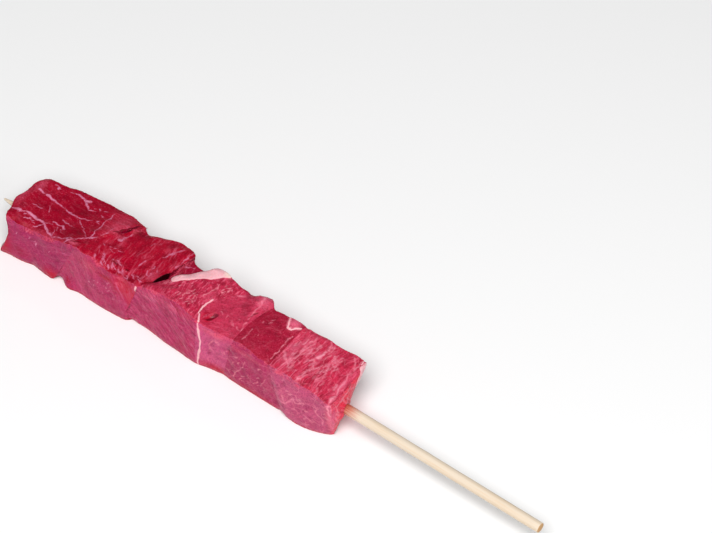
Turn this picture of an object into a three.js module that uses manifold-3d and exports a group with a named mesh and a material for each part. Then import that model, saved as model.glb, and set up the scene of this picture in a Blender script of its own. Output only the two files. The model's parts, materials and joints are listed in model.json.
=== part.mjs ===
// Raw lamb kebab: seven knife-cut pieces of lamb leg threaded on a round bamboo skewer, lying on a surface.
// Millimetres, +Z up. +X runs along the skewer towards its blunt handle end, -Y is the front.
// The origin is on the surface the meat rests on, below the middle of the whole kebab.

import * as THREE from 'three';
import { mergeVertices } from 'three/addons/utils/BufferGeometryUtils.js';
import Module from 'manifold-3d';

const wasm = await Module();
wasm.setup();

// ---------------------------------------------------------------- driving dimensions

const SKEWER = {
  length: 250,
  diameter: 4,
  pointLength: 11, // the sharpened stretch
  pointDiameter: 1,
  shoulder: { along: 0.7, width: 0.86 }, // where the point rounds off, as shares of its length and width
  endChamfer: 0.3, // worn rim of the sawn end
  height: 12.5, // of its axis above the surface
  sides: 20,
};
const GAP = 0.3; // between pieces of meat, and round the skewer
const CELL = 2.9; // size of one face cell
const CROWDING = 0.38; // how far the cells are drawn towards a piece's edges

// How far a piece's edges are rounded, along the skewer and across it:
// tight where a neighbour presses against the piece, and soft at a free end.
const EDGE = { pressed: 0.5, free: 1.4, across: 1 };

// Meat sags and swells over its cut faces in waves. Each has its share of the depth,
// its runs along the two ways of the face, counted in wave lengths, and its shift.
const UNEVEN = {
  depth: 0.55,
  waveLength: 11,
  waves: [
    { share: 0.5, runs: [0.9, 0.4], shift: 1 },
    { share: 0.3, runs: [-0.6, 1.7], shift: 2.3 },
    { share: 0.2, runs: [2.1, 1.3], shift: 4.1 },
  ],
};

// A swell is a local rise of a face, or below zero a dip:
// its place on the face, its reach either way and its height.

// A knife cut across the skewer is the surface
//   x = at + slant y + bow y^2 + lean (z - skewer height) + twist y (z - skewer height),
// with its swells placed by y and z.
const CUTS = {
  pointEnd: {
    at: -116,
    slant: 0.03,
    bow: 0.009,
    lean: -0.02,
    ripple: 0.4,
    swells: [
      { place: [-12, 0], reach: [4, 4], rise: -3 },
      { place: [-10, 13], reach: [4, 6], rise: 2.6 },
    ],
  },
  oneTwo: { at: -83.1, slant: 0.55, bow: 0.02, lean: 0.43 },
  twoThree: { at: -49, slant: 0.17, lean: 0.25 },
  threeFour: { at: -47.4, slant: 0.8, lean: 0.25 },
  fourFive: { at: -25.7, slant: 0.22, bow: 0.037, lean: 0.054 },
  fiveSix: { at: -10.5, slant: 0.06, bow: 0.01, lean: 0.21 },
  sixSeven: { at: 11.7, lean: -0.28 },
  handleEnd: {
    at: 36,
    slant: -0.24,
    lean: 0.13,
    twist: 0.02,
    ripple: 0.3,
    swells: [{ place: [5, 11], reach: [10, 8], rise: 1.7 }],
  },
};

// Each piece lies between two cuts. Its four long edges are given at the start, middle and end of the piece:
// foot is where the front and back walls meet the surface below, crest where they meet the top.
// The swells of its top are placed by x and y.
const PIECES = [
  {
    name: 'lamb_cube_1',
    from: CUTS.pointEnd,
    to: CUTS.oneTwo,
    foot: { front: [-13.4, -10.4, -10.6], back: [11, 15, 13.5] },
    crest: { front: [-11.4, -9.9, -9.2], back: [11.2, 16.6, 15] },
    height: { front: [21.8, 20.2, 25.2], back: [21.4, 21.4, 24.2] },
    belly: 0.3,
    swells: [
      { place: [-116, -6], reach: [3, 3], rise: -0.6 },
      { place: [-83, 8], reach: [2.5, 9], rise: 0.6 },
    ],
  },
  {
    name: 'lamb_cube_2',
    from: CUTS.oneTwo,
    to: CUTS.twoThree,
    trim: CUTS.threeFour,
    foot: { front: [-7.6, -11, -8.4], back: [11, 15.5, 14] },
    crest: { front: [-9.6, -9.3, -8.8], back: [11.8, 17.2, 15.2] },
    height: { front: [25.6, 23.4, 24], back: [21.4, 23, 24.6] },
    belly: 0.4,
    swells: [
      { place: [-61, -6.5], reach: [5, 3.5], rise: -1.1 },
      { place: [-75, -7], reach: [4, 3], rise: 0.8 },
    ],
  },
  {
    name: 'lamb_cube_3',
    from: CUTS.twoThree,
    to: CUTS.threeFour,
    foot: { front: [0.8, 0.6, 0.4], back: [12.5, 13.2, 13.4] },
    crest: { front: [2.2, 2.2, 2.4], back: [14.2, 13.6, 14] },
    height: { front: [19.8, 20.2, 20.8], back: [21.4, 20.6, 21.8] },
    belly: 0.2,
    swells: [],
  },
  {
    name: 'lamb_cube_4',
    from: CUTS.threeFour,
    to: CUTS.fourFive,
    foot: { front: [-8.6, -8.4, -10.6], back: [14, 13, 13] },
    crest: { front: [-8.8, -8.5, -9.8], back: [15.2, 14, 13.8] },
    height: { front: [23.8, 27.2, 25.8], back: [25.6, 25.4, 24.4] },
    belly: 0.3,
    swells: [],
  },
  {
    name: 'lamb_cube_5',
    from: CUTS.fourFive,
    to: CUTS.fiveSix,
    foot: { front: [-10.4, -8.8, -8], back: [13, 14.5, 13] },
    crest: { front: [-9.4, -8.3, -7.9], back: [14, 15.4, 13.8] },
    height: { front: [25.4, 23.8, 24.6], back: [23.8, 25.2, 25.6] },
    belly: 0.2,
    swells: [
      { place: [-11, 11], reach: [3, 4], rise: 1.1 },
      { place: [-18, 7], reach: [3, 3], rise: -0.8 },
    ],
    pit: { x: -19.5, y: -5.6, size: [4.6, 2, 5], turn: 24 },
  },
  {
    name: 'lamb_cube_6',
    from: CUTS.fiveSix,
    to: CUTS.sixSeven,
    foot: { front: [-8.1, -8.2, -8.2], back: [11.6, 12.4, 13.6] },
    crest: { front: [-7.8, -8, -7.9], back: [12.2, 13.4, 14.6] },
    height: { front: [24.8, 25, 23], back: [24.4, 24.6, 23.4] },
    belly: 0.2,
    swells: [{ place: [6, 12], reach: [3, 3], rise: 0.7 }],
  },
  {
    name: 'lamb_cube_7',
    from: CUTS.sixSeven,
    to: CUTS.handleEnd,
    foot: { front: [-8.2, -8.4, -4.4], back: [13.4, 13.4, 11] },
    crest: { front: [-7.9, -8.2, -8.2], back: [14.6, 14.8, 17] },
    height: { front: [23.2, 23.7, 21.2], back: [23.2, 23.2, 20.4] },
    belly: 0.5,
    swells: [],
  },
];

const FINISH = {
  rawLamb: { color: 0xb0213f, roughness: 0.35, metalness: 0 },
  bamboo: { color: 0xf1dcc0, roughness: 0.65, metalness: 0 },
};

// ---------------------------------------------------------------- small tools

const { lerp, clamp } = THREE.MathUtils;

// The value at share t of the way from start to end, through the middle one.
function along([start, middle, end], t) {
  return start * (1 - t) * (1 - 2 * t) + middle * 4 * t * (1 - t) + end * t * (2 * t - 1);
}

// A smooth, repeatable unevenness between -1 and 1.
function ripple(a, b, phase) {
  const turns = (2 * Math.PI) / UNEVEN.waveLength;
  return UNEVEN.waves.reduce((sum, { share, runs, shift }) => {
    return sum + share * Math.sin(turns * (runs[0] * a + runs[1] * b) + shift * phase);
  }, 0);
}

function swellAt(swells, a, b) {
  return swells.reduce((sum, { place, reach, rise }) => {
    const away = ((a - place[0]) / reach[0]) ** 2 + ((b - place[1]) / reach[1]) ** 2;
    return sum + rise * Math.exp(-away);
  }, 0);
}

function cutAt({ at, slant = 0, bow = 0, lean = 0, twist = 0, ripple: depth = 0, swells = [] }, y, z) {
  const up = z - SKEWER.height;
  const plain = at + slant * y + bow * y * y + lean * up + twist * y * up;
  return plain + depth * ripple(y, z, at) + swellAt(swells, y, z);
}

// Draws a box's vertices closer together near its edges, where the shape bends most.
function crowd(s) {
  return lerp(s, Math.sin((s * Math.PI) / 2), CROWDING);
}

// A point of a box moved onto the box with rounded edges, of a radius that may differ by axis.
function rounded(point, half, radius) {
  const inner = point.clone().clamp(radius.clone().sub(half), half.clone().sub(radius));
  return point.clone().sub(inner).divide(radius).setLength(1).multiply(radius).add(inner);
}

function toSolid(geometry) {
  const bare = geometry.clone();
  bare.deleteAttribute('normal');
  bare.deleteAttribute('uv');
  const merged = mergeVertices(bare, 1e-4);
  return new wasm.Manifold(
    new wasm.Mesh({
      numProp: 3,
      vertProperties: new Float32Array(merged.attributes.position.array),
      triVerts: new Uint32Array(merged.index.array),
    }),
  );
}

function toGeometry(solid) {
  const mesh = solid.getMesh();
  const geometry = new THREE.BufferGeometry();
  geometry.setAttribute('position', new THREE.BufferAttribute(new Float32Array(mesh.vertProperties), 3));
  geometry.setIndex(new THREE.BufferAttribute(new Uint32Array(mesh.triVerts), 1));
  geometry.computeVertexNormals();
  return geometry;
}

// ---------------------------------------------------------------- skewer

// A turned rod along X, from its point to its sawn end, with every radius grown by extra.
function rod(extra) {
  const radius = SKEWER.diameter / 2;
  const profile = [
    [0, 0],
    [SKEWER.pointDiameter / 2, 0],
    [radius * SKEWER.shoulder.width, SKEWER.pointLength * SKEWER.shoulder.along],
    [radius, SKEWER.pointLength],
    [radius, SKEWER.length - SKEWER.endChamfer],
    [radius - SKEWER.endChamfer, SKEWER.length],
    [0, SKEWER.length],
  ].map(([r, x]) => new THREE.Vector2(r > 0 ? r + extra : 0, x));
  return new THREE.LatheGeometry(profile, SKEWER.sides)
    .rotateZ(-Math.PI / 2)
    .translate(-SKEWER.length / 2, 0, SKEWER.height);
}

// ---------------------------------------------------------------- meat

// The place in the piece of a point given by its shares of the length (u), depth (v) and height (w).
function placeIn(piece, u, v, w) {
  const { from, to, foot, crest, height, belly, swells } = piece;
  const footY = lerp(along(foot.front, u), along(foot.back, u), v);
  const crestY = lerp(along(crest.front, u), along(crest.back, u), v);
  const top = lerp(along(height.front, u), along(height.back, u), v);
  const side = 2 * v - 1;
  const phase = from.at;
  let y = lerp(footY, crestY, w) + side * belly * 4 * w * (1 - w);
  let z = top * w;
  const roughX = lerp(cutAt(from, y, z), cutAt(to, y, z), u);
  y += side * UNEVEN.depth * ripple(roughX, z, phase + side) * w;
  z += w * w * (UNEVEN.depth * ripple(roughX, y, phase) + swellAt(swells, roughX, y));
  const x = lerp(cutAt(from, y, z) + GAP / 2, cutAt(to, y, z) - GAP / 2, u);
  return new THREE.Vector3(x, y, z);
}

// A box of about the piece's size, with its edges rounded, then bent to the piece's own walls and cuts.
function pieceBlock(piece) {
  const depth = piece.crest.back[1] - piece.crest.front[1];
  const tall = (piece.height.front[1] + piece.height.back[1]) / 2;
  const middleY = (piece.crest.back[1] + piece.crest.front[1]) / 2;
  const long = cutAt(piece.to, middleY, tall / 2) - cutAt(piece.from, middleY, tall / 2);
  const size = new THREE.Vector3(long, depth, tall);
  const half = size.clone().multiplyScalar(0.5);
  const cells = size.toArray().map((s) => Math.max(4, Math.round(s / CELL)));
  const geometry = new THREE.BoxGeometry(2, 2, 2, ...cells);
  const position = geometry.attributes.position;
  for (let i = 0; i < position.count; i += 1) {
    const corner = new THREE.Vector3().fromBufferAttribute(position, i);
    const crowded = new THREE.Vector3(crowd(corner.x), crowd(corner.y), crowd(corner.z)).multiply(half);
    const atFreeEnd = corner.x < 0 ? piece.from === CUTS.pointEnd : piece.to === CUTS.handleEnd;
    const radius = new THREE.Vector3(atFreeEnd ? EDGE.free : EDGE.pressed, EDGE.across, EDGE.across);
    const share = rounded(crowded, half, radius).divide(size).addScalar(0.5);
    const place = placeIn(piece, clamp(share.x, 0, 1), clamp(share.y, 0, 1), clamp(share.z, 0, 1));
    position.setXYZ(i, place.x, place.y, place.z);
  }
  return toSolid(geometry);
}

// All the space on the handle side of a plain cut, for trimming a piece back to it.
function spaceBeyond(cut) {
  const geometry = new THREE.BoxGeometry(SKEWER.length, SKEWER.length, SKEWER.length);
  const position = geometry.attributes.position;
  for (let i = 0; i < position.count; i += 1) {
    if (position.getX(i) < 0) {
      position.setX(i, cutAt(cut, position.getY(i), position.getZ(i)) - GAP / 2);
    }
  }
  return toSolid(geometry);
}

// A torn pit in the top: a flattened ball sunk half its height.
function pitOf({ x, y, size, turn }, top) {
  const geometry = new THREE.SphereGeometry(1 / 2, 12, 8)
    .scale(...size)
    .rotateZ(THREE.MathUtils.degToRad(turn))
    .translate(x, y, top);
  return toSolid(geometry);
}

function meatSolid(piece, channel) {
  let solid = pieceBlock(piece).subtract(channel);
  if (piece.trim) {
    solid = solid.subtract(spaceBeyond(piece.trim));
  }
  if (piece.pit) {
    solid = solid.subtract(pitOf(piece.pit, along(piece.height.front, 0.5)));
  }
  return solid;
}

// ---------------------------------------------------------------- the kebab

const kebab = new THREE.Group();
kebab.name = 'lamb_kebab_skewer';

const skewer = new THREE.Mesh(rod(0), new THREE.MeshStandardMaterial(FINISH.bamboo));
skewer.name = 'skewer';
kebab.add(skewer);

const channel = toSolid(rod(GAP));
for (const piece of PIECES) {
  const mesh = new THREE.Mesh(
    toGeometry(meatSolid(piece, channel)),
    new THREE.MeshStandardMaterial(FINISH.rawLamb),
  );
  mesh.name = piece.name;
  kebab.add(mesh);
}

// The kebab is modelled on its skewer's own centre line, then set over the origin.
const bounds = new THREE.Box3().setFromObject(kebab);
const middle = bounds.getCenter(new THREE.Vector3());
kebab.position.set(-middle.x, -middle.y, -bounds.min.z);

export default kebab;
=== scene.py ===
"""Raw lamb kebab: dresses the seven pieces of lamb leg and the bamboo skewer, and sets up the stage.

Run as a script. +X runs along the skewer towards its handle end, -Y is the front and +Z is up.
Sizes are in millimetres where a name or a comment says so, and otherwise in metres.
"""

import functools
import itertools
import json
import math
from typing import NamedTuple

import bpy
import numpy as np
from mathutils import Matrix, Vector

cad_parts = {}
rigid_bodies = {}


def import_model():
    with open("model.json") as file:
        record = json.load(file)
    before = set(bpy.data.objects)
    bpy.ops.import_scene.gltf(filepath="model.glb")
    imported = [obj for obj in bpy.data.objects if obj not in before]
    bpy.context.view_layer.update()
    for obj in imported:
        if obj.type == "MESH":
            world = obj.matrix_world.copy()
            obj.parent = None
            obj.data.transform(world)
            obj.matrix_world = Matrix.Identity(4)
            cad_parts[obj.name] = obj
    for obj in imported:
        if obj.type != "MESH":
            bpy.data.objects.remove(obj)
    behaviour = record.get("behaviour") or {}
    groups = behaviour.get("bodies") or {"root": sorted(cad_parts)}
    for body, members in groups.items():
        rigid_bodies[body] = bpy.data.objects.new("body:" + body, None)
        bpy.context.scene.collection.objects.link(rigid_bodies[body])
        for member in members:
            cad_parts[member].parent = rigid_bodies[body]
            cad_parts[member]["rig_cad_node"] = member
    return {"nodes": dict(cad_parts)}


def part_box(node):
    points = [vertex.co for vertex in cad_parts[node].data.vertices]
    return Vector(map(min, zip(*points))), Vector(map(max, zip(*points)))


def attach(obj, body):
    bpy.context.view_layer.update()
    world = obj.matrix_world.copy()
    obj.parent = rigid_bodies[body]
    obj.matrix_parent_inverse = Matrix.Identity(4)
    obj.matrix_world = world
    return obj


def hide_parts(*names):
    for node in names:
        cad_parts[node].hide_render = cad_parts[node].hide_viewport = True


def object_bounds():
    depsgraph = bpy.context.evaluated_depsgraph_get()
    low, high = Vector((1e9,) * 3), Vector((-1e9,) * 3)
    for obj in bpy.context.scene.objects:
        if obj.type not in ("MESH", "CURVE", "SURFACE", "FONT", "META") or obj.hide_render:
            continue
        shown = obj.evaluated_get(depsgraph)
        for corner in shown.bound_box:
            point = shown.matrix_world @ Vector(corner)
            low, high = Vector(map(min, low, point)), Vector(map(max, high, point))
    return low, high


bl_info = {
    "name": "Raw Lamb Kebab",
    "version": (1, 0, 0),
    "blender": (4, 5, 0),
    "location": "3D View > Sidebar > Kebab",
    "description": "Dresses raw lamb pieces on a bamboo skewer and sets up their stage",
    "category": "Object",
}

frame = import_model()
CAD_BOX = [list(corner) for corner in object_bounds()]
SKEWER_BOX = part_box("skewer")
MM = 0.001


def linear(hex_colour, alpha=None):
    """The linear colour of an sRGB hex value such as "#b0213f"."""
    parts = [int(hex_colour[i : i + 2], 16) / 255 for i in (1, 3, 5)]
    values = [c / 12.92 if c <= 0.04045 else ((c + 0.055) / 1.055) ** 2.4 for c in parts]
    return tuple(values) if alpha is None else (*values, alpha)


# ---------------------------------------------------------------- the cut faces of the lamb

# Marks lie on a face and are placed in millimetres: by x and y on the top, x and z on the front and the
# back, and y and z on the end that faces the handle and its far upper corner.
FACES = {
    "top": {"axes": (0, 1), "normal": (0, 0, 1)},
    "front": {"axes": (0, 2), "normal": (0, -1, 0)},
    "back": {"axes": (0, 2), "normal": (0, 1, 0)},
    "end": {"axes": (1, 2), "normal": (1, 0, 0)},
    "corner": {"axes": (1, 2), "normal": (0.94, 0.15, 0.3)},
}


# Fat and folds run as strands. A strand is written as the place on its face where it starts, in millimetres,
# and its runs one after another: heading, length and width. A heading is in degrees, from the face's first
# axis towards its second. The way a strand wavers and thins on its runs is worked out by strand_line.
STRAND_STEP = 0.8  # between the points of a strand, mm
SWELL_STEP = 2.0  # between the places where it is thickest or thinnest, mm


class Strewn(NamedTuple):
    """Short strands strewn over part of a face."""

    middle: tuple  # place on the face, mm
    reach: tuple  # how far from it they start, either way, mm
    count: int
    heading: float  # degrees
    stray: float  # how far single strands turn from it, degrees
    length: float  # mm
    width: float  # mm


class Lamb(NamedTuple):
    """One piece of lamb as it was cut. Pairs are for its top and for its sides."""

    node: str
    lean: str  # colour of its cut top
    side: str  # colour of its front: lean that the air has turned purple, under a painted milky reflection of the table
    flank: str  # colour of its end
    vein: str  # colour of its thin fat
    grain: tuple  # direction that the muscle fibres run in on the top
    side_grain: tuple  # and on the sides
    fibre: tuple  # length and width of a fibre bundle, mm
    streaks: tuple  # how plainly the bundles show, 0 to 1
    veins: dict  # thin fat that the lean shows through: strands
    web: tuple = (0.0, 0.0)  # how much fine marbling runs between the bundles, 0 to 1
    web_size: float = 3.0  # distance between the marbling's threads, mm
    blur: float = 0.0  # how far the edges of its thin fat fade, mm
    fat: dict = {}  # clean white fat: strands
    creases: dict = {}  # painted shade in folds and pits, and painted shadows of joints and under flaps: strands
    # Soft areas, mm: (place, place, reach, reach, paler), and more streaks and redder, if they are.
    # A few of the darker ones are painted shade under a flap or a lip,
    # and a few of the paler ones painted highlight along an edge.
    patches: dict = {}
    pushes: tuple = ()  # where it bulges or sinks: (x, y, z, reach, axis, how far), mm


LAMB_1 = Lamb(
    node="lamb_cube_1", lean="#a00024", side="#a82658", flank="#94052c", vein="#d47c9e",
    grain=(0.99, -0.14, 0), side_grain=(0.9, 0, 0.4), fibre=(5.0, 0.7), streaks=(0.15, 0.2),
    web=(0.0, 0.15), web_size=4.0,
    veins={
        "top": (
            (-115, -9, (14, 9, 1.1), (-4, 6, 1.2), (-28, 8, 0.7), (14, 11, 0.4)),
            (-101, -7, (14, 4, 0.4)), (-98, -5, (3, 5, 0.35), (-28, 2, 0.7)), (-100, -8, (-140, 4, 0.5)),
            (-112, 4, (-6, 4, 0.6), (-4, 5, 0.9), (-8, 6, 0.5), (-4, 7, 0.6), (18, 5, 0.4)),
            (-90, 1, (-36, 11, 0.35)), (-102, 10, (14, 4, 0.5), (-2, 6, 1.0)),
            (-95, 10, (-34, 5, 0.6), (0, 2, 0.6)), (-96, -2, (-10, 7, 0.4)), (-110, -3, (8, 5, 0.3)),
            (-104, 1, (-62, 4, 0.3)), (-108, -10, (35, 3, 0.25)), (-80, -5, (94, 17, 0.35)),
            (-87, -11.5, (45, 10, 0.4), (46, 9, 0.55)), (-77, -1, (80, 6, 0.25)),
            Strewn((-107, 9), (2, 0.5), 3, 0, 40, 1, 0.7),
            Strewn((-91, -9), (6, 3), 9, -10, 60, 1.8, 0.35),
            Strewn((-86, 6), (5, 4), 7, -20, 50, 1.2, 0.4),
            Strewn((-108, -9), (5, 2), 4, 10, 30, 2.2, 0.3),
        ),
        "front": (Strewn((-100, 15), (9, 3), 6, 60, 30, 1.2, 0.3),),
        "back": ((-108, 9, (25, 6, 0.6), (-5, 8, 0.4)), Strewn((-92, 12), (14, 6), 12, 30, 50, 2.4, 0.3)),
    },
    creases={
        "top": ((-86, -11, (28, 6, 0.3)), (-75, 3, (50, 9, 0.7))),
        "front": ((-90, 19, (20, 4, 0.25)), (-101, 6, (-45, 1.5, 0.3))),
    },
    patches={
        "top": (
            # The pale patches along the left end's rim, at x -115 and -112.5, are painted highlight.
            (-115, -2, 2.4, 6, 0.4), (-112.5, 6.5, 2, 4, 0.4), (-75, 6, 5.5, 9, 0.38, 0.35, 0.7),
            (-84, -10, 4, 1, 0.45, 0.2), (-97, -11.5, 12, 1.4, 0.3, 0.2), (-104, -1, 9, 3, -0.3),
            (-92, 4.5, 7, 2.4, -0.35), (-86, -4.5, 5, 2, -0.45), (-97, 7, 6, 2, -0.25),
        ),
        "front": (
            (-92, 2, 4, 3, 0, 0, 1), (-115, 7, 3, 9, -0.1, 0, 0.8), (-100.5, 6, 0.9, 0.8, -0.4),
            (-107, 6, 4, 3, -0.2, 0, 0.2), (-88, 12, 3, 3, -0.2), (-86, 17, 5, 3, 0.2, 0.5),
        ),
    },
    pushes=(
        (-115, -4, 20, 2.6, "X", -1.6), (-114, 1, 22, 1.3, "X", 1.0), (-114, 5, 21, 2.2, "X", -0.8),
        (-112, 9, 21, 4, "Z", 1.1), (-95, -14, 1, 8, "Y", -1.5), (-107, -14, 1, 6, "Y", -1.3),
        (-85.5, -12.5, 0.5, 4, "Y", -2.2), (-68.5, 14, 22, 3, "X", -1.3),
        (-85, -10.5, 23, 2.4, "Z", 0.5),
    ),
)

LAMB_2 = Lamb(
    node="lamb_cube_2", lean="#ac0428", side="#b82e5e", flank="#94052c", vein="#cc6c8c",
    grain=(-0.15, 1, 0), side_grain=(0.45, 0, -0.9), fibre=(7.0, 0.9), streaks=(0.38, 0.35),
    web=(0.0, 0.2), web_size=3.4,
    veins={
        "top": (
            (-76, 2, (-117, 10, 0.6)), (-72, 2, (-10, 1.5, 1.2), (78, 6, 0.7)), (-53, 5, (57, 9, 0.5)),
            (-52, 7, (50, 5, 0.3)), (-60, 9, (-90, 3, 0.4)), (-57, 0, (-100, 4, 0.7)),
            # The pale strands strewn over the ragged wet area between y -5 and -10 are torn fibres, with the
            # glints on them painted in.
            (-45, 13, (-95, 10, 0.5)), Strewn((-69, -8.5), (5, 2.5), 9, -50, 20, 2.4, 0.6),
            Strewn((-60, -8), (6, 1.5), 12, -25, 25, 2.4, 0.7),
            Strewn((-69, -5), (6, 2.5), 9, 20, 60, 1.2, 0.5),
            Strewn((-52, -2), (1.5, 3), 5, -75, 25, 2, 0.5),
        ),
        "front": (Strewn((-69, 13), (8, 5), 12, 65, 35, 1.2, 0.5),),
        "back": (Strewn((-60, 12), (10, 7), 14, 65, 35, 1.6, 0.35),),
    },
    fat={"front": ((-52.5, 22.5, (-90, 2, 0.7)),)},
    creases={
        "top": (
            (-67, -7.5, (-10, 2, 0.25)), (-60.5, -7, (-10, 2, 0.25)),
            (-51, -10, (50, 5, 0.4), (72, 11, 0.7)),
        ),
        "front": ((-70, 19, (0, 4, 0.35)),),
    },
    patches={
        "top": (
            (-72, 3, 3, 2, 0.4), (-62, -8, 9, 2.6, 0.1, 0.5), (-50.5, -4.5, 2.6, 3, 0.4, 0.4),
            # The darker patch at (-67, 9.5) is painted shadow under the first piece's flap; the small dark
            # spots at (-65, -7.5) and (-60, -7.2) are painted shade in pits.
            (-67, 9.5, 4, 2, -0.7), (-69, 1, 3, 5, -0.2), (-62, 4, 3, 6, -0.25, 0.2),
            (-56, -10.5, 2.4, 1, -0.7), (-65, -7.5, 1.2, 0.6, -1), (-60, -7.2, 1.2, 0.5, -1),
            (-53, 9, 5, 3, 0.15, 0.2),
        ),
        "front": (
            (-58, 19, 5, 4.5, 0.15, 0.3, 0.9), (-54.5, 14, 2, 4, 0, 0, 0.7),
            (-66.5, 18.5, 2.4, 1, -0.35, 0, 0.9), (-74, 20, 5, 3, 0.35, 0.5, 0.3), (-62, 6, 6, 5, -0.25),
        ),
    },
    pushes=(
        (-60, -12, 21, 3, "Y", 0.7), (-73, -12.5, 23, 3, "Z", 0.6), (-56, -13, 1, 7, "Y", -0.7),
        (-85.5, -12.5, 0.5, 4, "Y", -2.2),
    ),
)

LAMB_3 = Lamb(
    node="lamb_cube_3", lean="#98062c", side="#9c2040", flank="#8c0528", vein="#c8688a",
    grain=(-0.2, 1, 0), side_grain=(0.6, 0, 0.7), fibre=(5.0, 0.8), streaks=(0.35, 0.2), blur=0.1,
    veins={"top": ((-44, 7, (50, 4, 0.4)),)},
    pushes=((-44, 6, 20, 4, "Z", 1.6), (-43, 12, 20, 4, "Z", 1.0)),
)

LAMB_4 = Lamb(
    node="lamb_cube_4", lean="#c02648", side="#b8285c", flank="#9c1434", vein="#ee8ea0",
    grain=(-0.1, 0.99, 0), side_grain=(0.72, 0, -0.69), fibre=(2.6, 0.45), streaks=(0.95, 0.7), blur=0.1,
    veins={
        "top": (
            (-28, -2, (84, 9, 0.2)), Strewn((-37, -5), (8, 4), 34, 70, 20, 1.4, 0.2),
            Strewn((-24, 6), (2, 4), 6, 60, 40, 1.5, 0.4),
        ),
    },
    fat={
        "top": (
            (-41.5, -1.5, (46, 6, 3.1), (47, 7, 3.8), (50, 7, 4.8)),
            (-24, -10, (112, 2, 0.4), (104, 3, 0.8), (92, 2, 0.6), (74, 3, 0.35)),
        ),
        "back": ((-29, 26, (-85, 5, 4.5), (-100, 4, 3.0), (-105, 3, 1.5)),),
    },
    creases={"front": ((-39, 21.5, (-55, 2.5, 0.35)), (-26, 21, (-45, 1.5, 0.4)))},
    patches={
        "top": (
            (-27.5, 13, 2.2, 3, 1.2), (-44, -8, 4, 3, 0, -0.5), (-26, 0, 2.4, 6, 0.35, 0.3),
            (-36, -10.5, 12, 1.2, 0.25, 0.2), (-23, 6, 2.6, 3, -0.35),
        ),
        "front": (
            (-45, 22, 7, 3.4, 0.4, 0.7), (-33, 24, 7, 2.4, 0.25, 0.4, 0.2), (-44, 12, 7, 7, -0.15),
            (-30, 6, 6, 6, -0.2, 0, 0.1),
        ),
    },
    pushes=(
        (-40, -13, 1, 7, "Y", -0.9), (-41.5, 0.5, 25, 4.5, "Z", 1.2), (-36.5, 5, 25, 4.5, "Z", 1.0),
        (-31, 10.5, 25, 4.5, "Z", 0.7),
    ),
)

LAMB_5 = Lamb(
    node="lamb_cube_5", lean="#c03050", side="#ca4c7a", flank="#b02a48", vein="#e47890",
    grain=(0.9, 0.4, 0), side_grain=(0.4, 0, 0.9), fibre=(3.0, 0.5), streaks=(0.3, 0.25), web=(0.0, 0.3),
    web_size=3.6, blur=0.2,
    veins={
        "top": (
            (-20, 7, (22, 4, 0.6)), (-18, 10, (10, 2, 0.5)), (-10, 12, (-72, 4, 0.6), (-93, 8, 0.4)),
            (-8.5, -1, (-90, 2, 0.4), (-68, 6, 0.5)), Strewn((-15, -4), (5, 4), 8, -30, 60, 1.2, 0.25),
        ),
        "front": (
            (-18.5, 15, (60, 4, 0.3), (15, 3, 0.5)), (-18.5, 15, (-55, 4, 0.3)),
            Strewn((-15, 12), (5, 7), 10, 70, 50, 1.2, 0.3),
        ),
        "back": (Strewn((-14, 12), (6, 7), 8, 60, 50, 1.6, 0.3),),
    },
    fat={
        "top": ((-23, -11, (122, 3, 0.5)),),
        "front": (
            (-23, 24, (-84, 3, 0.4), (-81, 6, 0.75), (-93, 5, 0.45), (-100, 6, 0.8), (-92, 4, 0.5)),
        ),
    },
    creases={
        "top": ((-9.5, 1, (67, 4, 0.25)),),
        "front": ((-10, 16.5, (70, 6, 0.3)), (-18, 3, (45, 1.5, 0.25)), (-14, 2, (50, 2.5, 0.25))),
    },
    patches={
        "top": (
            (-9, 10, 3.2, 4, 0.55, 0.6), (-15, 0, 5, 4, -0.1), (-21.5, -7, 1.8, 2.4, -0.2, 0, 2),
            (-18, 9, 3, 1.6, 0.3, 0.3), (-12, -8, 6, 1.6, 0.2, 0.2),
        ),
        "front": (
            (-16, 22, 7, 1.4, 0.6, 0.2, 0.3), (-15, 2, 7, 2.4, 0, 0, 0.9), (-10, 14, 2, 9, -0.3),
            (-18, 8, 4, 5, 0.15, 0.3), (-9, 16.5, 0.7, 2.4, -0.4, 0, 0.1),
        ),
    },
    pushes=((-10, 10, 25, 3.5, "Z", 0.8), (-22.3, -7.5, 25, 1.3, "Z", 0.6), (-9, -10, 17, 1.2, "Y", 0.8)),
)

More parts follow.
